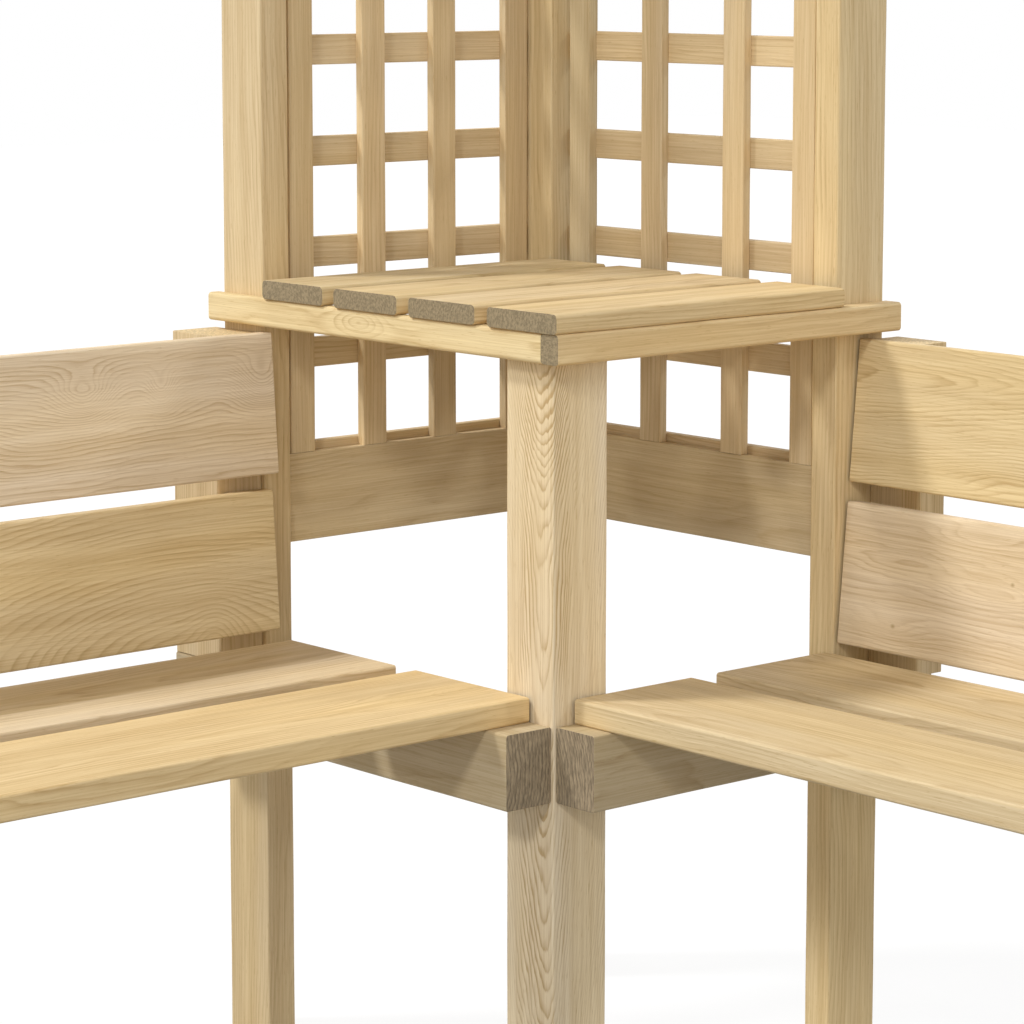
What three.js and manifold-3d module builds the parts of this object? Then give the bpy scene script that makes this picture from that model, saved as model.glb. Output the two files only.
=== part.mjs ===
import * as THREE from 'three';
import Module from 'manifold-3d';

const wasm = await Module();
wasm.setup();

// Timber sections, in millimetres
const postWide = 70;
const postNarrow = 35;
const bearerDepth = 76;
const seatThickness = 25;
const backThickness = 20;
const slatThickness = 20;
const apronDepth = 30;
const leftApronThickness = 17.5;
const rightApronThickness = 25;
const stripWidth = 32;
const stripThickness = 11;
const wideBoardHeight = 96;
const capThickness = 25;
const rafterDepth = 60;

// Edges and fits
const postRounding = 4;
const bearerRounding = 6;
const boardRounding = 4;
const stripRounding = 2;
const endEasing = 1.5;
const cornerSteps = 2;
const easingSteps = 1;
const sweepSteps = 8;
const timberRoughness = 0.72;
const seatedGap = 0.3;
const stapleLap = 1;

// Plan of the corner tower, measured from the near corner of the table post
const towerWidth = 532;
const towerDepth = 461;
const cornerPostPastLeft = 31.5;
const cornerPostPastRight = 10.5;
const trellisSetback = 5.5;

// Heights above the ground
const seatHeight = 450;
const wideBoardRise = 93.5;
const railRise = 77.5;
const railPitch = 108.2;
const railCount = 12;
const lowestRailDrop = 4;
const boardLap = 18.5;
const capRise = 10;

// Table top
const apronClearance = 9.5;
const slatCount = 4;
const slatGap = 18.3;
const slatOverhang = 2;
const slatFarClearance = 4;
const tableSideClearance = 24;
const leftApronOverhang = 4.5;
const rightApronOverhang = 1;
const cleatClearance = 1;

// Centres of the upright strips, as shares of the bay that they stand in
const leftStripShares = [0.0625, 0.35, 0.639, 0.942];
const rightStripShares = [0.053, 0.3155, 0.635, 0.9287];

// Roof
const capOverhang = 10;
const rafterShares = [1, 0.68, 0.36];
const rafterOverhang = 70;
const rafterNose = 22;
const rafterSweep = 55;

// Benches, with depths measured back from the table post
const seatLength = 800;
const seatGapToPost = 3;
const frameInset = 12;
const legDepth = 76;
const legSetback = 5;
const backBoardHeight = 150;
const upperBoardLift = 26.5;
const supportDrop = 3.5;
const wedgeWidth = 40;
const wedgeFootInset = 15;
const wedgeHeadInset = 22.5;

const leftBench = {
  name: 'left',
  hand: -1,
  turn: -Math.PI / 2,
  towerSide: towerWidth,
  bearerThickness: 58,
  bearerStart: 3.5,
  supportPastTower: 15,
  supportDepth: 80,
  supportWidth: 58,
  seatFront: 32,
  seatGap: 29.5,
  seatToBack: 17.5,
  lowerBoardLift: 8.5,
  boardClearance: 2.8,
  leanDegrees: 4.3,
  boardsInLine: false,
};

const rightBench = {
  name: 'right',
  hand: 1,
  turn: 0,
  towerSide: towerDepth,
  bearerThickness: 55,
  bearerStart: 3,
  supportPastTower: 23,
  supportDepth: 40,
  supportWidth: 70,
  seatFront: 24.5,
  seatGap: 33.5,
  seatToBack: 16,
  lowerBoardLift: 7,
  boardClearance: 1,
  leanDegrees: 5.2,
  boardsInLine: true,
};

// Derived levels
const bearerTop = seatHeight - seatThickness;
const bearerBottom = bearerTop - bearerDepth;
const upperBoardBottom = seatHeight + backBoardHeight + upperBoardLift;
const backTop = upperBoardBottom + backBoardHeight - supportDrop;
const apronBottom = backTop + apronClearance;
const apronTop = apronBottom + apronDepth;
const tableHeight = apronTop + slatThickness;
const wideBoardBottom = seatHeight + wideBoardRise;
const wideBoardTop = wideBoardBottom + wideBoardHeight;
const lastRailTop = wideBoardBottom + railRise + stripWidth + (railCount - 1) * railPitch;
const topBoardBottom = lastRailTop - boardLap;
const topBoardTop = topBoardBottom + wideBoardHeight;
const postTop = topBoardTop + capRise;
const capTop = postTop + capThickness;

// Derived plan positions
const leftPostX = -towerWidth + postWide / 2;
const rightPostY = towerDepth - postWide / 2;
const cornerNearX = -towerWidth + postWide + cornerPostPastLeft;
const cornerNearY = towerDepth - postWide - cornerPostPastRight;
const leftBay = cornerNearY - postNarrow;
const rightBay = -postNarrow - cornerNearX;
const leftTrellisFront = -towerWidth + postWide - trellisSetback;
const rightTrellisFront = towerDepth - postWide + trellisSetback;

const tints = {
  pale: 0xe3c896,
  honey: 0xdbc398,
  sapwood: 0xd8bf93,
  heart: 0xc6ae89,
  shaded: 0xbea57c,
};

const axisX = new THREE.Vector3(1, 0, 0);
const axisY = new THREE.Vector3(0, 1, 0);
const axisZ = new THREE.Vector3(0, 0, 1);

// Turns a form drawn along Z so that it runs along the chosen axis
function turnAlong(geometry, grain) {
  const turned = new THREE.Matrix4();
  if (grain === 'x') {
    turned.makeBasis(axisY, axisZ, axisX);
  }
  if (grain === 'y') {
    turned.makeBasis(axisZ, axisX, axisY);
  }
  return geometry.applyMatrix4(turned);
}

function pine(tint) {
  return new THREE.MeshStandardMaterial({ color: tint, roughness: timberRoughness, metalness: 0 });
}

// Sawn section with its four corners rounded over
function roundedSection(width, depth, rounding) {
  const right = width / 2;
  const top = depth / 2;
  const section = new THREE.Shape();
  section.moveTo(-right + rounding, -top);
  section.lineTo(right - rounding, -top);
  section.absarc(right - rounding, -top + rounding, rounding, -Math.PI / 2, 0, false);
  section.lineTo(right, top - rounding);
  section.absarc(right - rounding, top - rounding, rounding, 0, Math.PI / 2, false);
  section.lineTo(-right + rounding, top);
  section.absarc(-right + rounding, top - rounding, rounding, Math.PI / 2, Math.PI, false);
  section.lineTo(-right, -top + rounding);
  section.absarc(-right + rounding, -top + rounding, rounding, Math.PI, Math.PI * 1.5, false);
  return section;
}

// Section and length of a piece whose grain runs along one axis of its size
function stockOf(grain, size) {
  if (grain === 'x') {
    return { width: size.y, depth: size.z, length: size.x };
  }
  if (grain === 'y') {
    return { width: size.z, depth: size.x, length: size.y };
  }
  return { width: size.x, depth: size.y, length: size.z };
}

// Planed timber with rounded long edges and eased ends, centred on the origin
function timberForm(grain, size, rounding) {
  const stock = stockOf(grain, size);
  const section = roundedSection(stock.width, stock.depth, rounding);
  const form = new THREE.ExtrudeGeometry(section, {
    depth: stock.length - 2 * endEasing,
    curveSegments: cornerSteps,
    bevelEnabled: true,
    bevelThickness: endEasing,
    bevelSize: endEasing,
    bevelOffset: -endEasing,
    bevelSegments: easingSteps,
  });
  form.translate(0, 0, endEasing - stock.length / 2);
  return turnAlong(form, grain);
}

// Strip with square-cut ends for the joined lattice
function stripForm(grain, size) {
  const stock = stockOf(grain, size);
  const section = roundedSection(stock.width, stock.depth, stripRounding);
  const form = new THREE.ExtrudeGeometry(section, {
    depth: stock.length,
    curveSegments: 1,
    bevelEnabled: false,
  });
  form.translate(0, 0, -stock.length / 2);
  return turnAlong(form, grain);
}

// Adds one piece that fills the box between two opposite corners
function addTimber(group, name, grain, low, high, rounding, tint) {
  const from = new THREE.Vector3(...low);
  const to = new THREE.Vector3(...high);
  const size = to.clone().sub(from);
  const mesh = new THREE.Mesh(timberForm(grain, size, rounding), pine(tint));
  mesh.name = name;
  mesh.position.copy(from).add(to).multiplyScalar(0.5);
  group.add(mesh);
  return mesh;
}

function solidOf(geometry) {
  const vertices = Float32Array.from(geometry.getAttribute('position').array);
  const triangles = Uint32Array.from({ length: vertices.length / 3 }, (unused, index) => index);
  const mesh = new wasm.Mesh({ numProp: 3, vertProperties: vertices, triVerts: triangles });
  mesh.merge();
  return new wasm.Manifold(mesh);
}

function geometryOf(solid) {
  const mesh = solid.getMesh();
  const indexed = new THREE.BufferGeometry();
  indexed.setAttribute('position', new THREE.BufferAttribute(mesh.vertProperties, mesh.numProp));
  indexed.setIndex(new THREE.BufferAttribute(mesh.triVerts, 1));
  const faceted = indexed.toNonIndexed();
  faceted.computeVertexNormals();
  return faceted;
}

// Four posts: two tall side posts, a square back corner post and the short table post
function addPosts(group) {
  addTimber(group, 'post_left', 'z', [-towerWidth, 0, 0],
    [-towerWidth + postWide, postNarrow, postTop], postRounding, tints.honey);
  addTimber(group, 'post_right', 'z', [-postNarrow, towerDepth - postWide, 0],
    [0, towerDepth, postTop], postRounding, tints.pale);
  addTimber(group, 'post_corner', 'z', [cornerNearX - postWide, cornerNearY, 0],
    [cornerNearX, cornerNearY + postWide, postTop], postRounding, tints.shaded);
  addTimber(group, 'post_table', 'z', [-postWide, 0, 0],
    [0, postWide, apronTop], postRounding, tints.sapwood);
}

// Corner table: two aprons, a rear cleat and the slats that rest on them
function addTable(group) {
  addTimber(group, 'apron_left', 'x', [-towerWidth - leftApronOverhang, -leftApronThickness, apronBottom],
    [0, 0, apronTop], boardRounding, tints.pale);
  addTimber(group, 'apron_right', 'y', [0, -leftApronThickness, apronBottom],
    [rightApronThickness, towerDepth + rightApronOverhang, apronTop], boardRounding, tints.heart);
  addTimber(group, 'table_cleat', 'x',
    [cornerNearX + cleatClearance, rightTrellisFront - postNarrow, apronBottom],
    [-postNarrow, rightTrellisFront, apronTop], boardRounding, tints.shaded);
  const tableLeft = -towerWidth + postWide + tableSideClearance;
  const slatWidth = (rightApronThickness - tableLeft - slatGap * (slatCount - 1)) / slatCount;
  for (let index = 0; index < slatCount; index += 1) {
    const slatLeft = tableLeft + index * (slatWidth + slatGap);
    addTimber(group, `table_slat_${index + 1}`, 'y',
      [slatLeft, -leftApronThickness - slatOverhang, apronTop],
      [slatLeft + slatWidth, cornerNearY - slatFarClearance, tableHeight],
      boardRounding, tints.pale);
  }
}

// Lattice of level rails with two upright laths stapled to them, drawn along X from the bay's start
function latticeForm(bay, shares) {
  const lathLength = topBoardBottom - wideBoardTop;
  const pieces = [];
  for (let index = 0; index < railCount; index += 1) {
    const rail = stripForm('x', new THREE.Vector3(bay, stripThickness, stripWidth));
    const drop = index === 0 ? lowestRailDrop : 0;
    const middle = wideBoardBottom + railRise + stripWidth / 2 + index * railPitch - drop;
    pieces.push(solidOf(rail.translate(bay / 2, stripThickness + stripThickness / 2, middle)));
  }
  for (const share of shares.slice(1, -1)) {
    const depth = stripThickness + stapleLap;
    const lath = stripForm('z', new THREE.Vector3(stripWidth, depth, lathLength));
    pieces.push(solidOf(lath.translate(bay * share, depth / 2, wideBoardTop + lathLength / 2)));
  }
  return geometryOf(wasm.Manifold.union(pieces));
}

// Trellis panel drawn along X, with its front at Y zero and its rails behind
function trellisPanel(side, bay, shares, ends) {
  const panel = new THREE.Group();
  panel.name = `trellis_${side}`;
  addTimber(panel, `trellis_${side}_lower_board`, 'x', [0, 0, wideBoardBottom],
    [bay, stripThickness, wideBoardTop], stripRounding, tints.shaded);
  addTimber(panel, `trellis_${side}_upper_board`, 'x', [0, 0, topBoardBottom],
    [bay, stripThickness, topBoardTop], stripRounding, tints.shaded);
  const lattice = new THREE.Mesh(latticeForm(bay, shares), pine(tints.shaded));
  lattice.name = `trellis_${side}_lattice`;
  panel.add(lattice);
  const stiles = [shares[0], shares[shares.length - 1]];
  for (let index = 0; index < stiles.length; index += 1) {
    const left = bay * stiles[index] - stripWidth / 2;
    addTimber(panel, `trellis_${side}_${ends[index]}_stile`, 'z', [left, 0, wideBoardTop],
      [left + stripWidth, stripThickness, topBoardBottom], stripRounding, tints.heart);
  }
  return panel;
}

// The left panel is turned to run back from the left post, the right one runs across to the right post
function addTrellises(group) {
  const left = trellisPanel('left', leftBay, leftStripShares, ['post', 'corner']);
  left.rotation.z = Math.PI / 2;
  left.position.set(leftTrellisFront, postNarrow, 0);
  group.add(left);
  const mirrored = rightStripShares.map((share) => 1 - share).reverse();
  const right = trellisPanel('right', rightBay, mirrored, ['corner', 'post']);
  right.position.set(cornerNearX, rightTrellisFront, 0);
  group.add(right);
}

// Rafter outline with both lower ends swept up to a blunt nose
function rafterForm(length) {
  const end = length / 2;
  const outline = new THREE.Shape();
  outline.moveTo(-end + rafterSweep, 0);
  outline.lineTo(end - rafterSweep, 0);
  outline.quadraticCurveTo(end, 0, end, rafterDepth - rafterNose);
  outline.lineTo(end, rafterDepth);
  outline.lineTo(-end, rafterDepth);
  outline.lineTo(-end, rafterDepth - rafterNose);
  outline.quadraticCurveTo(-end, 0, -end + rafterSweep, 0);
  const form = new THREE.ExtrudeGeometry(outline, {
    depth: postNarrow - 2 * endEasing,
    curveSegments: sweepSteps,
    bevelEnabled: true,
    bevelThickness: endEasing,
    bevelSize: endEasing,
    bevelOffset: -endEasing,
    bevelSegments: easingSteps,
  });
  form.translate(0, 0, endEasing - postNarrow / 2);
  return form.rotateX(Math.PI / 2);
}

// Roof: two capping boards over the posts and rafters across the corner
function addRoof(group) {
  const capHalf = postWide / 2 + capOverhang;
  addTimber(group, 'cap_left', 'y', [leftPostX - capHalf, -capOverhang, postTop],
    [leftPostX + capHalf, rightPostY + capHalf, capTop], boardRounding, tints.honey);
  addTimber(group, 'cap_right', 'x', [leftPostX + capHalf, rightPostY - capHalf, postTop],
    [capOverhang, rightPostY + capHalf, capTop], boardRounding, tints.honey);
  const across = new THREE.Vector2(-postNarrow / 2 - leftPostX, rightPostY - postNarrow / 2);
  const labels = ['front', 'middle', 'back'];
  for (let index = 0; index < rafterShares.length; index += 1) {
    const share = rafterShares[index];
    const span = across.length() * share;
    const rafter = new THREE.Mesh(rafterForm(span + 2 * rafterOverhang * share), pine(tints.sapwood));
    rafter.name = `rafter_${labels[index]}`;
    rafter.rotation.z = across.angle();
    rafter.position.set(leftPostX + across.x * share / 2, rightPostY - across.y * share / 2,
      capTop + seatedGap);
    group.add(rafter);
  }
}

// Works out a bench's depths from the tower side that it stands against
function laidOut(spec) {
  const lean = THREE.MathUtils.degToRad(spec.leanDegrees);
  const supportBack = spec.towerSide + spec.supportPastTower;
  const supportFront = supportBack - spec.supportDepth;
  const boardDepth = backBoardHeight * Math.sin(lean) + backThickness * Math.cos(lean);
  const upperFront = supportFront - boardDepth - spec.boardClearance;
  const lowerBottom = seatHeight + spec.lowerBoardLift;
  const step = spec.boardsInLine ? (upperBoardBottom - lowerBottom) * Math.tan(lean) : 0;
  const lowerFront = upperFront - step;
  const rows = [
    { label: 'lower', front: lowerFront, bottom: lowerBottom, lean },
    { label: 'upper', front: upperFront, bottom: upperBoardBottom, lean },
  ];
  return { ...spec, supportBack, supportFront, rows, seatBack: lowerFront - spec.seatToBack };
}

// Adds a bench piece from its reach along the seat, its depth towards the back and its heights
function addBenchTimber(group, spec, name, grain, reach, depth, heights, rounding, tint) {
  const sides = depth.map((value) => value * spec.hand).sort((first, second) => first - second);
  return addTimber(group, `bench_${spec.name}_${name}`, grain, [reach[0], sides[0], heights[0]],
    [reach[1], sides[1], heights[1]], rounding, tint);
}

// Two seat boards with a gap between them
function addSeat(group, spec) {
  const reach = [seatGapToPost, seatGapToPost + seatLength];
  const boardWidth = (spec.seatBack - spec.seatFront - spec.seatGap) / 2;
  const heights = [bearerTop, seatHeight];
  addBenchTimber(group, spec, 'seat_front', 'x', reach, [spec.seatFront, spec.seatFront + boardWidth],
    heights, boardRounding, tints.pale);
  addBenchTimber(group, spec, 'seat_rear', 'x', reach, [spec.seatBack - boardWidth, spec.seatBack],
    heights, boardRounding, tints.honey);
}

// One leaning back board, placed by its lower front edge
function addBackBoard(group, spec, row) {
  const board = addTimber(group, `bench_${spec.name}_back_${row.label}`, 'x',
    [seatGapToPost, -backThickness / 2, -backBoardHeight / 2],
    [seatGapToPost + seatLength, backThickness / 2, backBoardHeight / 2], boardRounding, tints.heart);
  const up = backBoardHeight / 2;
  const back = backThickness / 2;
  board.position.y = spec.hand * (row.front + up * Math.sin(row.lean) + back * Math.cos(row.lean));
  board.position.z = row.bottom + up * Math.cos(row.lean) - back * Math.sin(row.lean);
  board.rotation.x = -spec.hand * row.lean;
}

// Wedge that fills the space between a leaning board and its upright support
function addBackWedge(group, spec, row, label, centre) {
  const slope = Math.tan(row.lean);
  const faceDepth = row.front + (backThickness + seatedGap) / Math.cos(row.lean);
  const low = row.bottom + wedgeFootInset;
  const high = row.bottom + backBoardHeight - wedgeHeadInset;
  const outline = new THREE.Shape([
    new THREE.Vector2(spec.hand * (faceDepth + (low - row.bottom) * slope), low),
    new THREE.Vector2(spec.hand * spec.supportFront, low),
    new THREE.Vector2(spec.hand * spec.supportFront, high),
    new THREE.Vector2(spec.hand * (faceDepth + (high - row.bottom) * slope), high),
  ]);
  const form = new THREE.ExtrudeGeometry(outline, { depth: wedgeWidth, bevelEnabled: false });
  form.translate(0, 0, centre - wedgeWidth / 2);
  const wedge = new THREE.Mesh(turnAlong(form, 'x'), pine(tints.shaded));
  wedge.name = `bench_${spec.name}_wedge_${row.label}_${label}`;
  group.add(wedge);
}

// Bearer bolted to the tower posts with the back support standing on it
function addInnerFrame(group, spec) {
  addBenchTimber(group, spec, 'bearer_inner', 'y', [0, spec.bearerThickness],
    [spec.bearerStart, spec.supportBack], [bearerBottom, bearerTop], bearerRounding, tints.heart);
  addBenchTimber(group, spec, 'support_inner', 'z', [0, spec.supportWidth],
    [spec.supportFront, spec.supportBack], [bearerTop, backTop], postRounding, tints.sapwood);
}

// Outer end frame: front leg, tall back leg and a bearer framed between them
function addOuterFrame(group, spec) {
  const outerFace = seatGapToPost + seatLength - frameInset;
  const legFront = spec.seatFront + legSetback;
  const legReach = [outerFace - spec.bearerThickness, outerFace];
  addBenchTimber(group, spec, 'leg_front', 'z', legReach, [legFront, legFront + legDepth],
    [0, bearerTop], bearerRounding, tints.honey);
  addBenchTimber(group, spec, 'bearer_outer', 'y', legReach, [legFront + legDepth, spec.supportFront],
    [bearerBottom, bearerTop], bearerRounding, tints.heart);
  addBenchTimber(group, spec, 'leg_back', 'z', [outerFace - spec.supportWidth, outerFace],
    [spec.supportFront, spec.supportBack], [0, backTop], postRounding, tints.sapwood);
}

function bench(size) {
  const spec = laidOut(size);
  const group = new THREE.Group();
  group.name = `bench_${spec.name}`;
  addInnerFrame(group, spec);
  addOuterFrame(group, spec);
  addSeat(group, spec);
  const innerCentre = spec.supportWidth / 2;
  const outerCentre = seatGapToPost + seatLength - frameInset - spec.supportWidth / 2;
  for (const row of spec.rows) {
    addBackBoard(group, spec, row);
    addBackWedge(group, spec, row, 'inner', innerCentre);
    addBackWedge(group, spec, row, 'outer', outerCentre);
  }
  group.rotation.z = spec.turn;
  return group;
}

// Stands the assembly with the middle of its footprint at the origin
function centred(assembly) {
  assembly.updateMatrixWorld(true);
  const middle = new THREE.Box3().setFromObject(assembly, true).getCenter(new THREE.Vector3());
  assembly.position.set(-middle.x, -middle.y, 0);
  const placed = new THREE.Group();
  placed.add(assembly);
  return placed;
}

const assembly = new THREE.Group();
addPosts(assembly);
addTable(assembly);
addTrellises(assembly);
addRoof(assembly);
assembly.add(bench(leftBench));
assembly.add(bench(rightBench));

const group = centred(assembly);
group.name = 'corner_arbour_seat';

export default group;
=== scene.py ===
"""A corner arbour seat of planed, pressure-treated pine: two benches at a right angle, a corner table
between them and a trellis tower behind. Every timber is made here as a piece of its own, in the place
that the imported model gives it."""
import math
from functools import partial
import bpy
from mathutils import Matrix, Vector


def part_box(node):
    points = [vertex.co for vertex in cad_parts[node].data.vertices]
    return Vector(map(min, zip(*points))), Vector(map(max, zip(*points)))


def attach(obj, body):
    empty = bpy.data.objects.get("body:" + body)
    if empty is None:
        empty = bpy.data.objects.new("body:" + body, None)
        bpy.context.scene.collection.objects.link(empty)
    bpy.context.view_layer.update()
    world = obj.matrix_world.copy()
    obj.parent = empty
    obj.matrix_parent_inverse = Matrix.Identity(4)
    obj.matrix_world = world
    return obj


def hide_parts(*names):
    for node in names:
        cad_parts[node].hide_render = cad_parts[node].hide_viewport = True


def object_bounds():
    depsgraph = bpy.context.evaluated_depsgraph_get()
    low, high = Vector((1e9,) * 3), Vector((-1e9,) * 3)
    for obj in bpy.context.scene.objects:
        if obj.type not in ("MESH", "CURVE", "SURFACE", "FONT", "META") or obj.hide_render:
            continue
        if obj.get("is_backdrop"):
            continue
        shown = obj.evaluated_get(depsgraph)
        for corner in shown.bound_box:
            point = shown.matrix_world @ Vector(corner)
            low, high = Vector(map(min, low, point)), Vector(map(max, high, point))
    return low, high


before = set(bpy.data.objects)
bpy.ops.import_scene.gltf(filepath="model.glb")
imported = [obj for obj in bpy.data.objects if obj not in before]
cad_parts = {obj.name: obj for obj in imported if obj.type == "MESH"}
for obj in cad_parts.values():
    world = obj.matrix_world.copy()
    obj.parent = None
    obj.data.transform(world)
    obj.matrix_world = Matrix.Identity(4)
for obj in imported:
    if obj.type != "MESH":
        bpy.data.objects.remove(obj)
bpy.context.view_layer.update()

from types import SimpleNamespace

import bpy
import numpy as np
from mathutils import Matrix, Vector

mm = 0.001
X, Y, Z = Vector((1, 0, 0)), Vector((0, 1, 0)), Vector((0, 0, 1))
white = (1, 1, 1, 1)


def linear(colour):
    """An sRGB hex colour as the linear values that Blender's sockets take."""
    parts = [int(colour[i:i + 2], 16) / 255 for i in (1, 3, 5)]
    return [c / 12.92 if c <= 0.04045 else ((c + 0.055) / 1.055) ** 2.4 for c in parts] + [1.0]


def scaled(colour, *shares):
    """A linear colour times one share, or times a share each for red, green and blue."""
    shares = shares * 3 if len(shares) == 1 else shares
    return [part * share for part, share in zip(colour, shares)] + [1]


def put(tree, kind, into, out=0, **settings):
    """Adds one shader node with its settings, fills its inputs with values or with other nodes' sockets,
    and gives back the socket that the next node takes."""
    node = tree.nodes.new("ShaderNode" + kind)
    for name, value in settings.items():
        setattr(node, name, value)
    for socket, value in into.items():
        if isinstance(value, bpy.types.NodeSocket):
            tree.links.new(value, node.inputs[socket])
        else:
            node.inputs[socket].default_value = value
    return node.outputs[out] if len(node.outputs) else node


def blank(name):
    """An empty node material and its tree."""
    material = bpy.data.materials.new(name)
    material.use_nodes = True
    material.node_tree.nodes.clear()
    return material, material.node_tree


# Settings that many nodes share: a smooth step, a mix of two colours, and a colour times another
smooth = {"interpolation_type": "SMOOTHSTEP"}
colours = {"out": 2, "data_type": "RGBA"}
tinting = colours | {"blend_type": "MULTIPLY"}

# Planed pine: the values that all its timbers share

# The noises of the wood, with the size of their cells in millimetres along the grain, across the face and
# out of it. The fibres and flecks are drawn far wider than real ones, which are a small part of a
# millimetre, so that they show from a few metres away. Each shift sets a noise apart from the others.
trunk_noise = dict(size=(625, 2000, 2000), detail=1.0, out="Color")
figure_noise = dict(size=(222.2, 71.43, 71.43), detail=1.5, out="Color")
wave_noise = dict(size=(62.5, 13.33, 13.33), detail=1.0, out="Color")
jitter_noise = dict(size=(22.22, 2.632, 2.632), detail=1.0, out="Color")
patch_noise = dict(size=(142.9, 23.81, 23.81))
fibre_noise = dict(size=(111.1, 1.429, 1.429), rough=0.6, shift=3.0)
streak_noise = dict(size=(909.1, 16.67, 16.67), rough=0.55, shift=7.0)
fleck_noise = dict(size=(14.286, 0.909, 0.909), detail=1.0, shift=5.0)
drift_noise = dict(size=(454.5, 71.43, 71.43), shift=11.0)
knot_noise = dict(size=(16.67, 16.67, 16.67))
speck_noise = dict(rough=0.65, shift=2.0)
noise_middle = (0.5, 0.5, 0.5)

# What a smooth step makes of a level, by the inputs of a Map Range: 1 and 2 become 3 and 4, or 0 and 1
patch_step = {1: 0.34, 2: 0.66, 3: 0.2, 4: 0.82}
fibre_step = {1: 0.3, 2: 0.7, 3: 0.92, 4: 1.055}
streak_step = {1: 0.3, 2: 0.7, 3: 0.94, 4: 1.05}
fleck_step = {1: 0.66, 2: 0.74}
drift_step = {1: 0.35, 2: 0.65}
heartwood_step = {1: 0.25, 2: 0.75, 3: 0.45}
end_step = {1: 0.7, 2: 0.8}
# Painted shade on the rounded rim of an end: darker where the surface turns away from the end
rim_shade_step = {1: 0.8, 2: 0.999, 3: 0.62}
speck_step = {1: 0.34, 2: 0.68, 3: 0.76, 4: 1.2}

# How far a single fibre strays from its ring, in millimetres
jitter = 0.5
# Good and bad years: how many changes there are per ring, and how many rings they are worth
year_changes, year_spread = 0.12, 3.0
# The brown of one ring from its start to its end: pale early wood deepens into narrow late wood
ring_profile = ((0.0, 0.3), (0.08, 0.0), (0.5, 0.1), (0.78, 0.6), (0.92, 1.0), (1.0, 0.35))
# Early wood as shares of the timber's tone, late wood as shares of early wood, and what a full line is worth
early_shares, late_shares, line_strength = (1.05, 1.05, 1.06), (0.68, 0.585, 0.45), 1.7
# What the lines are worth near the pith of a timber with a core, and away from it
bold, faint = 1.3, 0.35
# The darkest and the palest level of a fibre, and the powers that red, green and blue take of it
darkest, palest, browning = 0.72, 1.12, (1, 1.35, 2.1, 0)
fleck_depth = -0.15
warm_drift, cool_drift = (1.015, 1.0, 0.94, 1), (0.98, 0.985, 0.995, 1)
# Over how many millimetres, to both sides, the low and the high edge of heartwood fade
low_fade, high_fade = 6, 9
# A knot: its two colours, how it stretches along the grain, the width of its rings in millimetres and how
# ragged it is
knot_colours, knot_stretch, knot_ring, ragged_share = ("#bca27a", "#ab9063"), (0.8, 1, 0), 0.714, 0.5
# The share of a knot that doesn't fade, the millimetres over which its rim does, and its strength
whole_share, knot_fade, knot_strength = 0.2, 2.6, 0.85
# End grain as shares of its tone, between its lines and on them
pale_end_share, dark_end_share = 1.1, 0.66
# How proud the plane leaves late wood and fibres, and the strength and depth of the relief
late_relief, fibre_relief, relief_strength, relief_depth = 0.5, 0.6, 0.35, 0.25 * mm

# How a plain timber looks. A timber names only what it has otherwise. Lengths are in millimetres, and x and
# y are measured from the timber's middle, along the grain and across the face.
plain = {
    # Which piece of the tree it is, the tone of its pale wood, and how light it is as a whole
    "seed": 0.0, "tone": "#d8c096", "shade": 1.0,
    # The width of a ring, and the way from the pith to the timber's middle, across the face and out of it
    "ring": 4.2, "pith": (20, 60),
    # How far the rings stray in bends that are about 600, 200 and 60 long
    "wander": 28, "figure": 7, "wave": 1.5,
    # A dome (x, slope, reach), eyes (x, y, a, b, h) and the taper, which shells() and raised() explain
    "dome": None, "eyes": (), "taper": 0.0,
    # The strength of the dark lines. With a core they are bold up to core[0] from the pith and faint from
    # core[1] on.
    "late": 0.5, "core": None,
    # A band (low, high, colour) of heartwood across the face, and knots (x, y, radius)
    "band": None, "knots": (),
    # The colour of end grain, the strength of the rings in it and the size of its specks
    "end_tone": "#908165", "end_lines": 0.3, "end_specks": (2.5, 2.083, 3.333),
}


# Planed pine: one function for each thing that the eye sees in it

def wood_noise(add, wood, seed, size, detail=2.0, rough=0.5, out="Fac", shift=0.0):
    """Noise whose cells have this size on the timber's axes, at a place of its own for each seed."""
    across_share = 1.7
    cells = [1 / (length * mm) for length in size]
    start = (seed, seed * across_share, shift)
    place = add("VectorMath", {0: wood, 1: cells, 2: start}, operation="MULTIPLY_ADD")
    return add("TexNoise", {"Vector": place, "Scale": 1.0, "Detail": detail, "Roughness": rough}, out=out)


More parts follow.
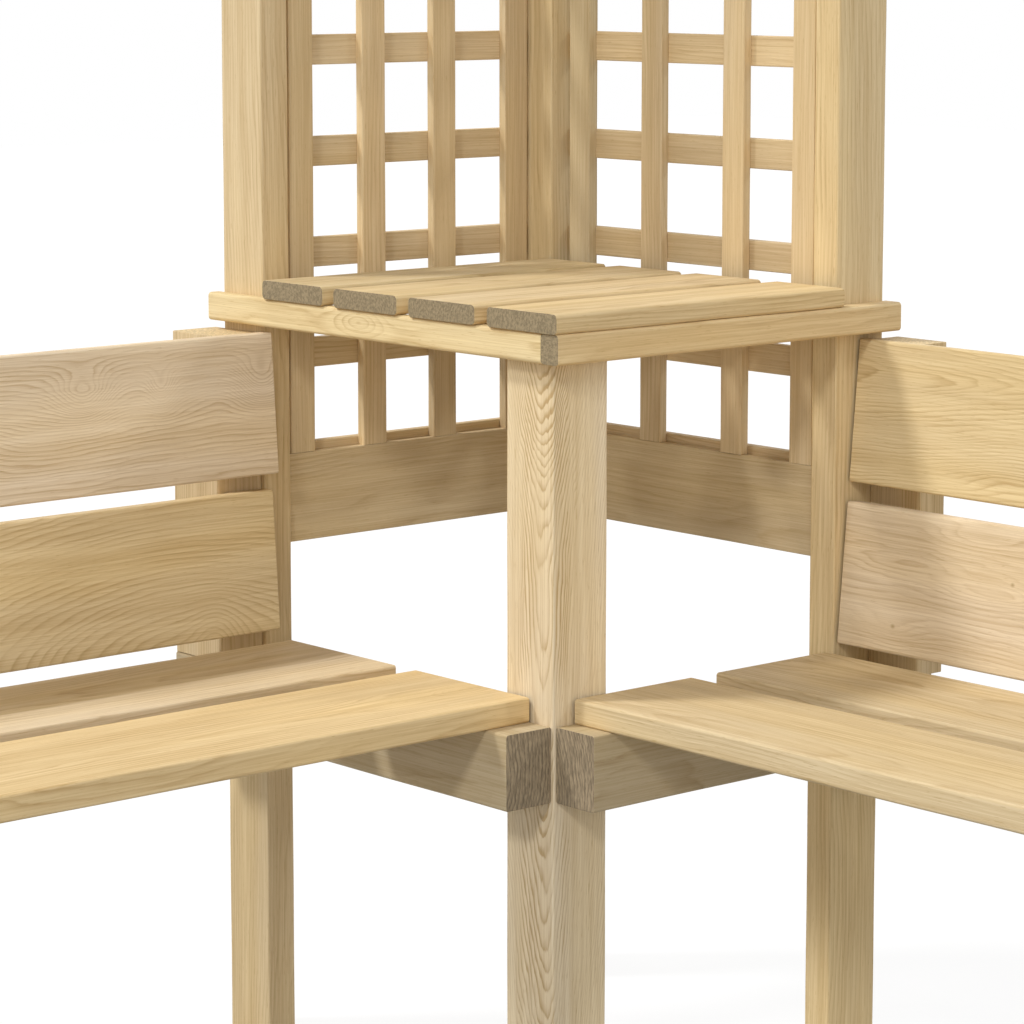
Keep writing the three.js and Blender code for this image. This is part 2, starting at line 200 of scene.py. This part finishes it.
def shells(add, noise, wood, look):
    """The growth rings are shells about the pith: each point's bent place and its distance from the pith.

    The distance is |(0, y, z) + pith + stray|, with a stray that is a sum of four noises. Where a shell
    grazes the face it leaves arches, and where it cuts it square it leaves straight lines. A dome closes the
    shells round a bend of the trunk, by a third side reach tanh(slope (x - dome) / reach) under the root.
    """
    offset = (0, look.pith[0] * mm, look.pith[1] * mm)
    for kind, reach in ((trunk_noise, look.wander), (figure_noise, look.figure), (wave_noise, look.wave),
                        (jitter_noise, jitter)):
        stray = add("VectorMath", {0: noise(**kind), 1: noise_middle}, operation="SUBTRACT")
        most = (0, reach * mm * 2, reach * mm * 2)
        offset = add("VectorMath", {0: stray, 1: most, 2: offset}, operation="MULTIPLY_ADD")
    bent = add("VectorMath", {0: wood, 1: offset}, operation="ADD")
    flat = add("VectorMath", {0: bent, 1: (0, 1, 1)}, operation="MULTIPLY")
    if look.dome:
        x, slope, reach = look.dome
        gain, start = slope / (reach * mm), -x * slope / reach
        closing = add("SeparateXYZ", {0: wood}, out="X")
        closing = add("Math", {0: closing, 1: gain, 2: start}, operation="MULTIPLY_ADD")
        closing = add("Math", {0: closing}, operation="TANH")
        closing = add("Math", {0: closing, 1: reach * mm}, operation="MULTIPLY")
        flat = add("VectorMath", {0: flat, 1: add("CombineXYZ", {0: closing})}, operation="ADD")
    return bent, add("VectorMath", {0: flat}, out="Value", operation="LENGTH")


def raised(add, wood, radius, look):
    """The distance from the pith with what an eye adds to it, h exp(-(dx / a)^2 - (dy / b)^2), and what a
    trunk that thins adds, taper x."""
    for x, y, a, b, h in look.eyes:
        away = add("VectorMath", {0: wood, 1: (-x * mm, -y * mm, 0)}, operation="ADD")
        away = add("VectorMath", {0: away, 1: (1 / (a * mm), 1 / (b * mm), 0)}, operation="MULTIPLY")
        away = add("VectorMath", {0: away}, out="Value", operation="LENGTH")
        square = add("Math", {0: away, 1: 2.0}, operation="POWER")
        square = add("Math", {0: square, 1: -1.0}, operation="MULTIPLY")
        bell = add("Math", {0: math.e, 1: square}, operation="POWER")
        radius = add("Math", {0: bell, 1: h * mm, 2: radius}, operation="MULTIPLY_ADD")
    if look.taper:
        x = add("SeparateXYZ", {0: wood}, out="X")
        radius = add("Math", {0: x, 1: look.taper, 2: radius}, operation="MULTIPLY_ADD")
    return radius


def ring_lines(add, radius, ring):
    """The brown of the rings, from 0 to 1: the profile of one ring over the fraction of radius / ring, which
    good and bad years make uneven."""
    years = add("Math", {0: radius, 1: year_changes / (ring * mm)}, operation="MULTIPLY")
    uneven = add("TexNoise", {"W": years, "Scale": 1.0, "Detail": 1.0}, noise_dimensions="1D")
    uneven = add("Math", {0: uneven, 1: year_spread}, operation="MULTIPLY")
    count = add("Math", {0: radius, 1: 1 / (ring * mm), 2: uneven}, operation="MULTIPLY_ADD")
    part = add("Math", {0: count}, operation="FRACT")
    brown = add("ValToRGB", {"Fac": part})
    stops = brown.node.color_ramp.elements
    for at, _ in ring_profile[1:-1]:
        stops.new(at)
    for stop, (_, level) in zip(stops, ring_profile):
        stop.color = (level, level, level, 1)
    return brown


def early_and_late(add, noise, brown, from_pith, look):
    """Early wood with its honey lines of late wood, bolder in some patches than in others."""
    boldness = add("MapRange", {"Value": noise(**patch_noise)} | patch_step, **smooth)
    if look.core:
        inside, outside = (distance * mm for distance in look.core)
        core = add("MapRange", {"Value": from_pith, 1: inside, 2: outside, 3: bold, 4: faint}, **smooth)
        boldness = add("Math", {0: boldness, 1: core}, operation="MULTIPLY")
    dark = add("Math", {0: brown, 1: boldness}, operation="MULTIPLY")
    dark = add("Math", {0: dark, 1: look.late * line_strength}, operation="MULTIPLY")
    early = scaled(linear(look.tone), *(share * look.shade for share in early_shares))
    return add("Mix", {0: dark, 6: early, 7: scaled(early, *late_shares)}, **colours)


def fibred(add, noise, colour, fibre, streak):
    """The colour under fine fibres, long streaks and short resin flecks. A darker fibre is browner too, for
    blue falls off faster than red."""
    fleck = add("MapRange", {"Value": noise(**fleck_noise)} | fleck_step, **smooth)
    level = add("Math", {0: add("MapRange", {"Value": fibre} | fibre_step, **smooth),
                         1: add("MapRange", {"Value": streak} | streak_step, **smooth)}, operation="MULTIPLY")
    fleck = add("Math", {0: fleck, 1: fleck_depth, 2: 1.0}, operation="MULTIPLY_ADD")
    level = add("Math", {0: level, 1: fleck}, operation="MULTIPLY")
    level = add("MapRange", {"Value": level, 1: darkest, 2: palest})
    dark, pale = ([end ** power for power in browning] for end in (darkest, palest))
    tint = add("Mix", {0: level, 6: dark, 7: pale}, **colours)
    return add("Mix", {0: 1.0, 6: colour, 7: tint}, **tinting)


def drifting(add, noise, colour):
    """The colour with a slow drift between warmer and cooler wood along the timber."""
    drift = add("MapRange", {"Value": noise(**drift_noise)} | drift_step, **smooth)
    drift = add("Mix", {0: drift, 6: warm_drift, 7: cool_drift}, **colours)
    return add("Mix", {0: 1.0, 6: colour, 7: drift}, **tinting)


def with_heartwood(add, colour, bent, streak, look):
    """The colour with its band of heartwood, which is duller than the sapwood beside it."""
    low, high, heart = look.band
    side = add("SeparateXYZ", {0: bent}, out="Y")
    side = add("Math", {0: side, 1: -look.pith[0] * mm}, operation="ADD")
    above_low = {1: (low - low_fade) * mm, 2: (low + low_fade) * mm}
    below_high = {1: (high - high_fade) * mm, 2: (high + high_fade) * mm, 3: 1, 4: 0}
    held = add("Math", {0: add("MapRange", {"Value": side} | above_low, **smooth),
                        1: add("MapRange", {"Value": side} | below_high, **smooth)}, operation="MULTIPLY")
    streaked = add("MapRange", {"Value": streak} | heartwood_step, **smooth)
    held = add("Math", {0: held, 1: streaked}, operation="MULTIPLY")
    return add("Mix", {0: held, 6: colour, 7: linear(heart)}, **tinting)


def with_knots(add, noise, wood, colour, knots):
    """The colour with its knots, each a ragged spot with a few rings of its own."""
    pale, dark = map(linear, knot_colours)
    for x, y, size in knots:
        away = add("VectorMath", {0: wood, 1: (-x * mm, -y * mm, 0)}, operation="ADD")
        away = add("VectorMath", {0: away, 1: knot_stretch}, operation="MULTIPLY")
        away = add("VectorMath", {0: away}, out="Value", operation="LENGTH")
        ragged = add("Math", {0: noise(**knot_noise), 1: size * ragged_share * mm}, operation="MULTIPLY")
        away = add("Math", {0: away, 1: ragged}, operation="ADD")
        branch = add("Math", {0: away, 1: 1 / (knot_ring * mm)}, operation="MULTIPLY")
        branch = add("Math", {0: branch}, operation="FRACT")
        heart = add("Mix", {0: branch, 6: pale, 7: dark}, **colours)
        fading = {1: whole_share * size * mm, 2: (size + knot_fade) * mm, 3: knot_strength, 4: 0}
        held = add("MapRange", {"Value": away} | fading, **smooth)
        colour = add("Mix", {0: held, 6: colour, 7: heart}, **colours)
    return colour


def with_ends(add, noise, brown, colour, along, look):
    """The colour with end grain where the surface faces along the timber. It has drunk more of the treatment,
    so it is grey-brown and speckled. Its rounded rim is darker still: painted shade, by how far the
    surface there turns from the end. Gives the specks, with that shade in them, and where they show too."""
    normal = add("TexCoord", {}, out="Normal")
    facing = add("VectorMath", {0: normal, 1: along}, out="Value", operation="DOT_PRODUCT")
    facing = add("Math", {0: facing}, operation="ABSOLUTE")
    end = add("MapRange", {"Value": facing} | end_step, **smooth)
    specks_and_rim_shade = add("MapRange", {"Value": noise(look.end_specks, **speck_noise)} | speck_step, **smooth)
    # Painted shade: the rounded rim of an end is darkened by how far it turns from the end
    rim_shade = add("MapRange", {"Value": facing} | rim_shade_step, **smooth)
    specks_and_rim_shade = add("Math", {0: specks_and_rim_shade, 1: rim_shade}, operation="MULTIPLY")
    lines = add("Math", {0: brown, 1: look.end_lines}, operation="MULTIPLY")
    pale, dark = (scaled(linear(look.end_tone), share) for share in (pale_end_share, dark_end_share))
    soaked = add("Mix", {0: lines, 6: pale, 7: dark}, **colours)
    soaked = add("Mix", {0: 1.0, 6: soaked, 7: specks_and_rim_shade}, **tinting)
    return add("Mix", {0: end, 6: colour, 7: soaked}, **colours), specks_and_rim_shade, end


def relief(add, brown, fibre, specks_and_rim_shade, end):
    """The relief that the plane leaves: late wood is harder than early wood, so it stands a little proud, and
    the fibres give a fine tooth. On the ends the specks are pores."""
    height = add("Math", {0: add("Math", {0: brown, 1: late_relief}, operation="MULTIPLY"),
                          1: add("Math", {0: fibre, 1: fibre_relief}, operation="MULTIPLY")}, operation="ADD")
    pores = add("Math", {0: specks_and_rim_shade, 1: end}, operation="MULTIPLY")
    height = add("Math", {0: height, 1: pores}, operation="ADD")
    return add("Bump", {"Strength": relief_strength, "Distance": relief_depth, "Height": height})


def pine(name, centre, along, face, **look):
    """Pressure-treated pine, planed: pale early wood with a honey line of late wood on each ring, fine
    fibres and short resin flecks, and grey-brown end grain.

    The pattern is solid. In the timber's own frame x runs along the grain, y across its face and z out of
    it. look is what the timber has otherwise than a plain one.
    """
    look = SimpleNamespace(**plain | look)
    material, tree = blank(name)
    add = partial(put, tree)
    turn = Matrix((along, face.cross(along), face))
    place = add("TexCoord", {}, out="Object")
    wood = add("Mapping", {"Vector": place, "Location": -(turn @ centre), "Rotation": turn.to_euler()})
    noise = partial(wood_noise, add, wood, look.seed)

    bent, from_pith = shells(add, noise, wood, look)
    brown = ring_lines(add, raised(add, wood, from_pith, look), look.ring)
    colour = early_and_late(add, noise, brown, from_pith, look)
    fibre, streak = noise(**fibre_noise), noise(**streak_noise)
    colour = fibred(add, noise, colour, fibre, streak)
    colour = drifting(add, noise, colour)
    if look.band:
        colour = with_heartwood(add, colour, bent, streak, look)
    colour = with_knots(add, noise, wood, colour, look.knots)
    colour, specks_and_rim_shade, end = with_ends(add, noise, brown, colour, along, look)
    normal = relief(add, brown, fibre, specks_and_rim_shade, end)
    shader = add("BsdfPrincipled", {"Base Color": colour, "Roughness": 0.7, "IOR": 1.5,
                                    "Specular IOR Level": 0.26, "Normal": normal})
    add("OutputMaterial", {"Surface": shader})
    return material


# Timbers

# Points on each rounded arris, and the turns over which an end is eased
arris_points, ease_turns = 7, (90, 67.5, 45, 22.5)
# The distance between the stations along a timber, and the fewest and the most of them
station, fewest_stations, most_stations = 20 * mm, 6, 48
# How much a planed arris wavers, as a share of its radius, the radians per metre of its waves, and how many
# phases they have
waver_share, waver_rate, phases = 0.14, 30, 7


def rounded(corners):
    """A convex outline whose corners are rounded, as the corner that each point belongs to, its reach from
    there at radius 1, and its outward normal.

    At a corner whose sides have outward normals n1 and n2, k = -(n1 + n2) / (1 + n1.n2) leads to the centre
    of a round of radius 1, so the reach is k + n with n turning from n1 to n2.
    """
    corners = np.asarray(corners, float)
    before, after = corners - np.roll(corners, 1, 0), np.roll(corners, -1, 0) - corners
    n1, n2 = [np.c_[d[:, 1], -d[:, 0]] / np.linalg.norm(d, axis=1)[:, None] for d in (before, after)]
    cosine = (n1 * n2).sum(1)
    k = -(n1 + n2) / (1 + cosine)[:, None]
    share = np.linspace(0, 1, arris_points)
    angle = np.arccos(np.clip(cosine, -1, 1))[:, None] * share + np.arctan2(n1[:, 1], n1[:, 0])[:, None]
    n = np.stack([np.cos(angle), np.sin(angle)], -1)
    return np.repeat(corners, arris_points, 0), (k[:, None] + n).reshape(-1, 2), n.reshape(-1, 2)


def skin(name, points, normals, around, turned):
    """A smooth closed mesh over rings of so many points around, with a flat cap on each end. Where the rings
    are turned the other way, so are the faces, to look outwards."""
    rows, step = len(points) // around, np.arange(around)
    start, onward = (np.arange(rows - 1) * around)[:, None], np.roll(step, -1)
    quads = np.stack([start + step, start + onward, start + around + onward, start + around + step], -1)
    way = 1 if turned else -1
    caps = [step[::-way], step[::way] + (rows - 1) * around]
    faces = quads.reshape(-1, 4)[:, ::way].tolist() + [cap.tolist() for cap in caps]
    mesh = bpy.data.meshes.new(name)
    mesh.from_pydata(points.tolist(), [], faces)
    mesh.shade_smooth()
    mesh.normals_split_custom_set_from_vertices(normals.tolist())
    return mesh


def timber(name, corners, length, radius, ease, axes, centre):
    """A prism over a convex outline, with rounded arrises, carried along its length s.

    The outline is corner + r reach, and r wavers as radius (1 + waver_share sin(waver_rate s + phase)). Each
    end is eased over q = 0 to 90 degrees by drawing the outline in by ease (1 - cos q) while s goes on by
    ease sin q. axes are the directions of the length and of the outline's two axes.
    """
    corner, reach, n = rounded(corners)
    q = np.radians(ease_turns)
    stations = int(np.clip(length / station, fewest_stations, most_stations))
    middle = np.linspace(-length / 2 + ease, length / 2 - ease, stations)
    s = np.r_[-length / 2 + ease - ease * np.sin(q), middle, length / 2 - ease + ease * np.sin(q[::-1])]
    q = np.r_[q, np.zeros(stations), q[::-1]]
    phase = sum(map(ord, name)) % phases
    r = np.where(q > 0, radius, radius * (1 + waver_share * np.sin(waver_rate * s + phase)))
    drawn_in = (ease * (1 - np.cos(q)))[:, None, None] * n
    outline = corner + r[:, None, None] * reach - drawn_in
    run = np.broadcast_to(s[:, None, None], outline.shape[:2] + (1,))
    tip = np.broadcast_to((np.sign(s) * np.sin(q))[:, None, None], run.shape)
    points = np.concatenate([run, outline], -1).reshape(-1, 3)
    normals = np.concatenate([tip, np.cos(q)[:, None, None] * n], -1).reshape(-1, 3)
    axes = np.array(axes, float)
    mesh = skin(name, points @ axes + np.array(centre), normals @ axes, len(n), np.linalg.det(axes) > 0)
    piece = bpy.data.objects.new(name, mesh)
    bpy.context.scene.collection.objects.link(piece)
    return piece


def rectangle(width, depth):
    """The corners of a section about its middle."""
    right, top = width / 2, depth / 2
    return [(-right, -top), (right, -top), (right, top), (-right, top)]


def middle_of(node):
    """The middle of a node's box."""
    low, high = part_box(node)
    return (low + high) / 2


def fit(piece, nodes, material):
    """Hands a finished piece over: its material and what it rides on. It hides the nodes that it stands for.
    """
    piece.data.materials.append(material)
    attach(piece, "root")
    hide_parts(*nodes)


# A number for each timber, so that no two show the same wood: the draw, the largest number, how many there
# are, which is more than the timbers, and their decimals
draw, largest, enough, decimals = 11, 40, 200, 2
seeds = iter(np.random.default_rng(draw).uniform(0, largest, enough).round(decimals).tolist())
# From one timber to the next the shade swings about its middle, and the strength of the lines swings too,
# each at a rate of its own
shade_middle, shade_swing, shade_rate, late_rate = 0.97, 0.07, 9, 5


def straight(name, low, high, slot, nodes, radius=3.0, ease=0.8, face=None, late=plain["late"], varied=0.0,
             **look):
    """A timber whose sides lie along the axes, between two corners, with its grain along its longest side.
    radius and ease are in millimetres, face is the way that its best face looks, late is how strong its
    lines are, and varied is how far that swings from timber to timber."""
    size, centre = high - low, (low + high) / 2
    grain, _, thin = sorted(range(3), key=lambda i: -size[i])
    u, v = [(grain + i) % 3 for i in (1, 2)]
    axes = [(X, Y, Z)[i] for i in (grain, u, v)]
    piece = timber(name, rectangle(size[u], size[v]), size[grain], radius * mm, ease * mm, axes, centre)
    seed = next(seeds)
    shade = shade_middle + shade_swing * math.sin(shade_rate * seed)
    late *= 1 + varied * math.sin(late_rate * seed)
    material = pine("pine " + name, centre, axes[0], face or (X, Y, Z)[thin], seed=seed, shade=shade,
                    late=late, **look)
    fit(piece, nodes, material)


def from_node(node, slot, **look):
    """A straight timber that fills its node's box."""
    straight(node, *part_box(node), slot, [node], **look)


# Posts, legs and bearers

post = partial(from_node, slot="post_pine", radius=2.2)
post("post_left", face=-Y, pith=(90, 40), late=0.35, tone="#d9c195")
post("post_right", face=X, pith=(-80, 60), late=0.4, tone="#e5cc9c")
# The corner post's slightly darker tone is painted shade, for the inside corner that it stands in
post("post_corner", face=-Y, pith=(60, 60), late=0.5, tone="#d1bb90")
post("post_table", radius=2, face=-Y, pith=(19, -58), ring=3.4, taper=-0.14, wander=6, figure=7, wave=3.2,
     late=1.0, core=(34, 50), tone="#eedbb7", eyes=[(209, 0, 150, 9000, 21)])
for side in ("left", "right"):
    bench = f"bench_{side}_"
    for leg in ("leg_front", "leg_back"):
        post(bench + leg, pith=(70, 50), late=0.45)
    post(bench + "support_inner", radius=3, pith=(60, 55), late=0.45, end_tone="#d4bc90", end_lines=0.2)
    # The bearers' tone is darker than plain pine: painted shade, for the shade under the seats that they lie
    # in
    for bearer in ("bearer_inner", "bearer_outer"):
        from_node(bench + bearer, "bearer_pine", radius=3, pith=(12, 130), ring=4.6, wave=2.4, late=0.38,
                  tone="#c1ae8a", end_tone="#9b8a70", end_lines=1.0, end_specks=(2.5, 11.11, 2.326))

# Seats and backs

seat_board = partial(from_node, slot="bench_board_pine", radius=3, face=Z)
seat_board("bench_left_seat_front", pith=(20, 24), wander=14, figure=8, late=0.45, tone="#e6ca96",
           eyes=[(372, -16, 26, 14, -15), (300, 22, 90, 16, -10)])
seat_board("bench_left_seat_rear", pith=(-20, 80), late=0.45, tone="#d8c39f", band=(-12, 88, "#d6cdb9"))
seat_board("bench_right_seat_front", pith=(60, 60), late=0.35, tone="#d5be93")
seat_board("bench_right_seat_rear", pith=(-20, 70), late=0.45, tone="#ceb88f")

lean = {"left": math.radians(4.3), "right": math.radians(5.2)}
board_width, board_thickness = 150 * mm, 20 * mm
board_radius, board_ease = 3 * mm, 0.8 * mm
# Each back board has the main figures that the photo shows on it.
backs = {
    "left_back_upper": dict(
        tone="#e6d2b2", pith=(92, 16), ring=4.3, wander=10, figure=5, wave=3.4, late=0.52,
        eyes=[(160, 28, 34, 24, 34), (118, 4, 70, 34, 12), (255, 27, 16, 22, 22), (384, 26, 30, 26, 30),
              (325, 10, 40, 22, -12), (20, -12, 50, 26, -12)]),
    "left_back_lower": dict(
        tone="#dfc89a", pith=(84, 6), ring=5.6, wander=8, figure=6, wave=2.4, late=0.52,
        dome=(272, 0.34, 400), eyes=[(316, -78, 30, 42, -22)]),
    "right_back_upper": dict(
        tone="#dfc899", pith=(-40, 4), ring=4.0, taper=0.07, wander=10, figure=10, wave=2.2, late=0.55,
        eyes=[(-190, -48, 60, 14, 9)]),
    "right_back_lower": dict(
        tone="#dfcaa8", pith=(-22, 40), ring=4.4, wander=8, figure=10, wave=3.0, late=0.38,
        eyes=[(-316, 22, 62, 12, -9), (-330, -47, 44, 12, -10), (-196, 6, 70, 14, -13),
              (-215, 56, 60, 12, 12)],
        knots=[(-324, -46, 1.3), (-169, 18, 0.9)]),
}
for board, look in backs.items():
    node = "bench_" + board
    low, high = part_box(node)
    side = board.split("_")[0]
    run, front = (1, X) if side == "left" else (0, -Y)
    along = (X, Y, Z)[run]
    # The board leans back, so its face looks a little up.
    face = front * math.cos(lean[side]) + Z * math.sin(lean[side])
    piece = timber(node, rectangle(board_width, board_thickness), high[run] - low[run], board_radius,
                   board_ease, (along, face.cross(along), face), middle_of(node))
    material = pine("pine " + node, middle_of(node), along, face, seed=next(seeds), **look)
    fit(piece, [node], material)

# Corner table

table_piece = partial(from_node, slot="table_pine")
table_piece("apron_left", radius=4, face=-Y, pith=(0, 30), figure=5, late=0.5, tone="#ead4a4",
            eyes=[(-9, 5, 36, 15, -20)])
table_piece("apron_right", radius=4, face=X, pith=(20, 50), late=0.4, tone="#e8cc99")
table_piece("table_cleat", radius=3)
# Each slat lies this much further across the tree than the one before it, and the second one over the pith.
slat_shift = 15
for number, tone in enumerate(("#d5bf93", "#d5bd8f", "#dac296", "#e2c897"), 1):
    table_piece(f"table_slat_{number}", radius=5, ease=0.6, face=Z, pith=(slat_shift * (number - 2), 40),
                tone=tone)

# Trellis: the rails stand behind the uprights, and a wide board closes each panel at its foot and its head

strip_width, rail_count, rail_pitch = 32 * mm, 12, 108.2 * mm
# The lowest rail lies this much under the place that the others' pitch would give it
lowest_rail_drop = 4 * mm
# The middles of the two middle uprights, as shares of the wide board's length
upright_shares = {"left": (0.35, 0.639), "right": (0.365, 0.6845)}
for side, front in (("left", X), ("right", -Y)):
    panel = f"trellis_{side}_"
    strip = dict(slot="trellis_pine", ease=0.4, face=front)
    for part in ("lower_board", "upper_board"):
        from_node(panel + part, "trellis_pine", radius=1.5, ease=0.5, face=front, pith=(40, 50), late=0.3,
                  tone="#d1bb92")
    for part in ("post_stile", "corner_stile"):
        # The right corner stile's darker tone is painted shade, for the inside corner that it stands in
        tone = "#c4b18c" if panel + part == "trellis_right_corner_stile" else plain["tone"]
        from_node(panel + part, radius=0.8, pith=(60, 30), late=0.38, varied=0.7, tone=tone, **strip)
    lattice_low, lattice_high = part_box(panel + "lattice")
    board_low, board_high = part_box(panel + "lower_board")
    stile_low, stile_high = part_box(panel + "post_stile")
    run = 1 if side == "left" else 0
    for number, share in enumerate(upright_shares[side], 1):
        low, high = board_low.copy(), board_high.copy()
        middle = board_low[run] + share * (board_high[run] - board_low[run])
        low[run], high[run] = middle - strip_width / 2, middle + strip_width / 2
        low.z, high.z = stile_low.z, stile_high.z
        straight(f"{panel}upright_{number}", low, high, nodes=[panel + "lattice"], radius=1.3, pith=(60, 30),
                 late=0.38, varied=0.7, **strip)
    low, high = lattice_low.copy(), lattice_high.copy()
    if side == "left":
        high.x = board_low.x
    else:
        low.y = board_high.y
    for number in range(rail_count):
        low.z = lattice_low.z + (lowest_rail_drop + rail_pitch * number if number else 0)
        high.z = low.z + strip_width
        straight(f"{panel}rail_{number + 1}", low, high, nodes=[panel + "lattice"], radius=1.3, pith=(50, 30),
                 late=0.32, varied=0.5, **strip)

# Roof

for cap in ("cap_left", "cap_right"):
    from_node(cap, "roof_pine", radius=4, ease=2, face=Z, pith=(20, 80))

rafter_depth, rafter_width, rafter_overhang = 60 * mm, 35 * mm, 70 * mm
rafter_nose, rafter_sweep, sweep_points = 22 * mm, 55 * mm, 9
rafter_radius, rafter_ease = 2.5 * mm, 2.5 * mm
rafter_shares = {"rafter_front": 1.0, "rafter_middle": 0.68, "rafter_back": 0.36}
# The rafters lie as the line from the left post to the right one does, and the front one goes past it by the
# overhang at both ends.
span = middle_of("post_right") - middle_of("post_left")
rafter_turn = math.atan2(span.y, span.x)
rafter_along = Vector((math.cos(rafter_turn), math.sin(rafter_turn), 0))
rafter_across = Vector((-math.sin(rafter_turn), math.cos(rafter_turn), 0))
for rafter, share in rafter_shares.items():
    half = (math.hypot(span.x, span.y) / 2 + rafter_overhang) * share
    top = rafter_depth / 2
    # The underside of each end rises to the nose on a quarter of an ellipse.
    turn = np.radians(np.linspace(0, 90, sweep_points))
    curve = np.c_[half - rafter_sweep + rafter_sweep * np.sin(turn),
                  -top + (rafter_depth - rafter_nose) * (1 - np.cos(turn))]
    outline = np.vstack([curve, [(half, top)], [(-half, top)], curve[::-1] * (-1, 1)])
    piece = timber(rafter, outline, rafter_width, rafter_radius, rafter_ease,
                   (-rafter_across, rafter_along, Z), middle_of(rafter))
    material = pine("pine " + rafter, middle_of(rafter), rafter_along, -rafter_across, pith=(30, 60),
                    seed=next(seeds))
    fit(piece, [rafter], material)

# The wedges behind the leaning boards keep their packed form

for name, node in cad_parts.items():
    if "wedge" in name:
        face = X if "left" in name else Y
        node.data.materials.clear()
        node.data.materials.append(pine("pine " + name, middle_of(name), Z, face, seed=next(seeds)))

# Camera


def towards(azimuth, height):
    """The direction at an azimuth and a height above the level, both in degrees."""
    azimuth, height = math.radians(azimuth), math.radians(height)
    level = math.cos(height)
    return Vector((level * math.cos(azimuth), level * math.sin(azimuth), math.sin(height)))


# The photo's view, found from its vanishing points. The photo is level and its lens is shifted far, which
# would cut every other view, so this camera is pitched down a little and shifted less.
camera = bpy.data.objects.new("camera", bpy.data.cameras.new("camera"))
bpy.context.scene.collection.objects.link(camera)
bpy.context.scene.camera = camera
camera.data.sensor_width = 36
camera.data.lens = 123.474
camera.data.shift_y = -0.1
camera.data.clip_start, camera.data.clip_end = 0.05, 60
camera.location = (2.37684, -2.07351, 1.18195)
camera.rotation_euler = towards(azimuth=138.8996, height=-7.5571).to_track_quat("-Z", "Y").to_euler()

# Floor and sky

floor_size = 30
# Shares of white: the paper as the wood sees it, the paper under its trace of shadow, and its glow
paper_share, shadow_share, glow_share = 0.4, 0.13, 0.9
# The light that the wood gets from the sky, as a share of white
sky_share = 0.37


def shows_white(tree):
    """1 for a ray from the camera, or one that a gloss or a glass sends on, and 0 for the rays that light
    the wood: the largest of Light Path's three outputs."""
    rays = put(tree, "LightPath", {}).node.outputs
    seen = put(tree, "Math", {0: rays["Is Camera Ray"], 1: rays["Is Glossy Ray"]}, operation="MAXIMUM")
    return put(tree, "Math", {0: seen, 1: rays["Is Transmission Ray"]}, operation="MAXIMUM")


def studio_paper():
    """White studio paper, matt. To the camera it is white with a trace of the shadow on it, and to the wood
    it is a plain mid grey, so that it throws no more light up under the seats than a lawn would."""
    material, tree = blank("white studio paper, matt")
    seen = shows_white(tree)
    to_wood, to_camera = scaled(white, paper_share), scaled(white, shadow_share)
    shade = put(tree, "Mix", {0: seen, 6: to_wood, 7: to_camera}, **colours)
    matt = put(tree, "BsdfDiffuse", {"Color": shade})
    glow = put(tree, "Math", {0: seen, 1: glow_share}, operation="MULTIPLY")
    glow = put(tree, "Emission", {"Color": white, "Strength": glow})
    put(tree, "OutputMaterial", {"Surface": put(tree, "AddShader", {0: matt, 1: glow})})
    return material


bpy.ops.mesh.primitive_plane_add(size=floor_size)
floor = bpy.context.object
floor.name = "floor"
floor.data.materials.append(studio_paper())
floor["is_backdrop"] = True

scene = bpy.context.scene
scene.view_settings.view_transform = "Standard"
world = bpy.data.worlds.new("studio")
scene.world = world
world.use_nodes = True
tree = world.node_tree
tree.nodes.clear()
strength = put(tree, "MapRange", {"Value": shows_white(tree), 3: sky_share, 4: 1.0})
sky = put(tree, "Background", {"Color": white, "Strength": strength})
put(tree, "OutputWorld", {"Surface": sky})

# Lamps


def lamp(name, azimuth, height, share, spread):
    """A far, soft lamp that stands at an azimuth and a height, and looks spread degrees wide. Facing it, a
    white surface would show this share of full white."""
    data = bpy.data.lights.new(name, "SUN")
    data.energy, data.angle = share * math.pi, math.radians(spread)
    light = bpy.data.objects.new(name, data)
    light.rotation_euler = (-towards(azimuth, height)).to_track_quat("-Z", "Y").to_euler()
    bpy.context.scene.collection.objects.link(light)


lamp("key_left", azimuth=234, height=53, share=0.57, spread=9)
lamp("front", azimuth=298, height=36, share=0.28, spread=9)
lamp("right", azimuth=47, height=34, share=0.14, spread=8)
lamp("low_left", azimuth=210, height=12, share=0.14, spread=26)
lamp("low_front", azimuth=326, height=12, share=0.13, spread=30)
lamp("low_back", azimuth=115, height=14, share=0.16, spread=50)

low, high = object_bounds()
